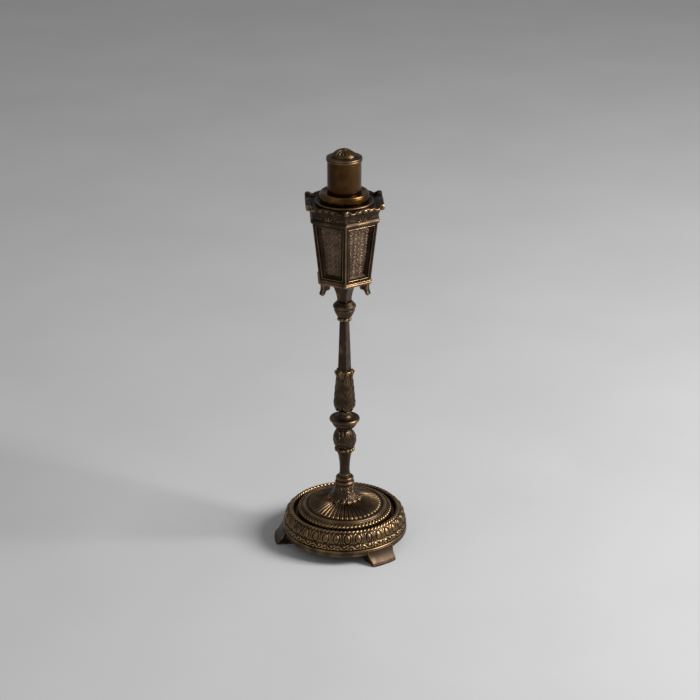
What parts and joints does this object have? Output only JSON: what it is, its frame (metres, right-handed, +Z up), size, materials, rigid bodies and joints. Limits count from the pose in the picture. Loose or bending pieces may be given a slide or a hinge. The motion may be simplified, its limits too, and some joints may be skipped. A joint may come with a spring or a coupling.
{
  "type": "table lantern",
  "caption": "Cast bronze table lantern: a hexagonal street-lamp head with a lift-off chimney and cap, on a turned column and a round ornamented base with bracket feet.",
  "frame": {"origin": "on the table under the column's axis, in the plane of the soles", "axes": "+Z up the column; -Y towards the lantern's front corner; +X to the viewer's right"},
  "size_m": [0.1055, 0.1061, 0.3225],
  "materials": {
    "aged_bronze": "dark patina, worn golden edges",
    "polished_brass": "satin, handled bright",
    "panel_bronze": "stippled ornament",
    "plain_brass": "spun",
    "steel": "turned",
    "cotton": "woven"
  },
  "bodies": {
    "stand": {"acanthus_cone": "aged_bronze", "acanthus_vase": "aged_bronze", "base_casting": "aged_bronze", "base_nut": "steel", "base_washer": "steel", "bottom_plate": "aged_bronze", "bud_knop": "aged_bronze", "burner_collar": "plain_brass", "clamp_bolts": "steel", "crown": "aged_bronze", "disc_knop": "aged_bronze", "fluted_dome": "aged_bronze", "foot_back_right": "aged_bronze", "foot_front_right": "aged_bronze", "foot_left": "aged_bronze", "foot_screws": "steel", "lantern_neck": "aged_bronze", "lantern_nut": "steel", "lower_shaft": "aged_bronze", "oil_font": "plain_brass", "panel_back_left": "panel_bronze", "panel_back_right": "panel_bronze", "panel_front_left": "panel_bronze", "panel_front_right": "panel_bronze", "panel_left": "panel_bronze", "panel_right": "panel_bronze", "pendant_back": "aged_bronze", "pendant_left": "aged_bronze", "pendant_right": "aged_bronze", "ringed_collar": "aged_bronze", "side_frame_back_left": "aged_bronze", "side_frame_back_right": "aged_bronze", "side_frame_front_left": "aged_bronze", "side_frame_front_right": "aged_bronze", "side_frame_left": "aged_bronze", "side_frame_right": "aged_bronze", "tapered_shaft": "aged_bronze", "tie_rod": "steel", "urn_knop": "aged_bronze", "wick": "cotton", "wick_tube": "plain_brass"},
    "chimney": {"lid_flange": "aged_bronze", "lid_collar": "polished_brass", "chimney_tube": "polished_brass"},
    "cap": {"cap_ring": "aged_bronze", "cap_dome": "aged_bronze"}
  },
  "joints": [
    {"name": "chimney lift", "type": "slide", "parent": "stand", "child": "chimney", "axis": [0, 0, 1], "range_m": [0, 0.04]},
    {"name": "cap lift", "type": "slide", "parent": "chimney", "child": "cap", "axis": [0, 0, 1], "range_m": [0, 0.02]}
  ]
}
